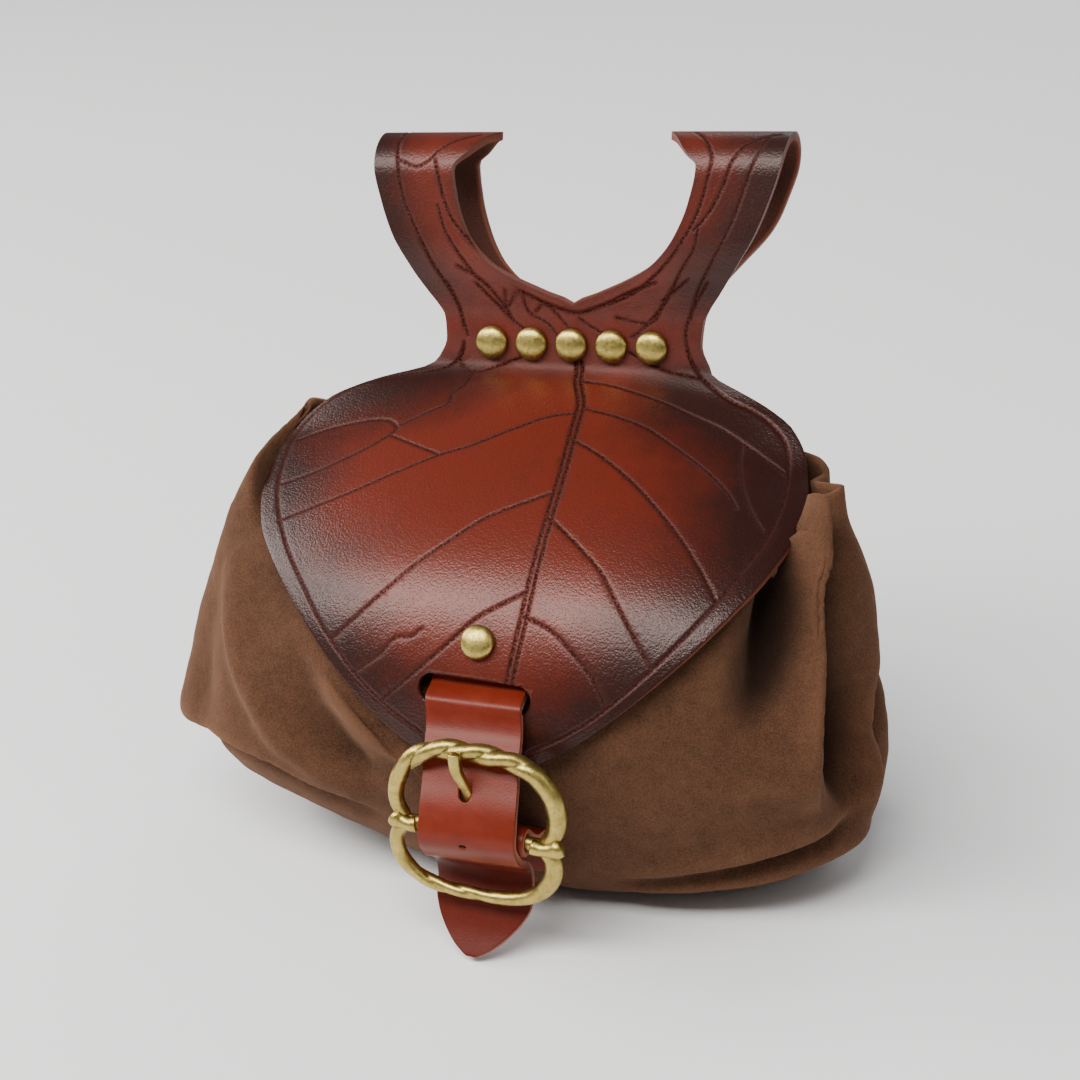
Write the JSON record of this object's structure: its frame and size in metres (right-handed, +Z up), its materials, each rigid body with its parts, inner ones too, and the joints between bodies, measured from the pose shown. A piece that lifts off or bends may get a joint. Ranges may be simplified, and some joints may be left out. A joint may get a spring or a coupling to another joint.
{
  "type": "waist bag",
  "caption": "Soft suede waist bag with a leaf-shaped tooled leather flap, two belt loops, a riveted yoke and a buckled closing strap.",
  "frame": {"origin": "on the floor under the middle of the yoke's width, 38 mm in front of the crease of the flap", "axes": "+Z up, the bag's front faces -Y, the belt runs along X"},
  "size_m": [0.1914, 0.133, 0.1827],
  "materials": {
    "flap_leather": "burnished, tooled, satin",
    "strap_leather": "smooth, satin",
    "suede": "napped suede, matt",
    "brass": "antique, worn"
  },
  "bodies": {
    "root": {"flap_and_loops": "flap_leather", "pouch": "suede", "yoke_rivet_1": "brass", "yoke_rivet_2": "brass", "yoke_rivet_3": "brass", "yoke_rivet_4": "brass", "yoke_rivet_5": "brass", "flap_rivet": "brass", "closing_strap": "strap_leather", "buckle_frame": "brass", "buckle_prong": "brass", "buckle_strap": "strap_leather"}
  },
  "joints": []
}
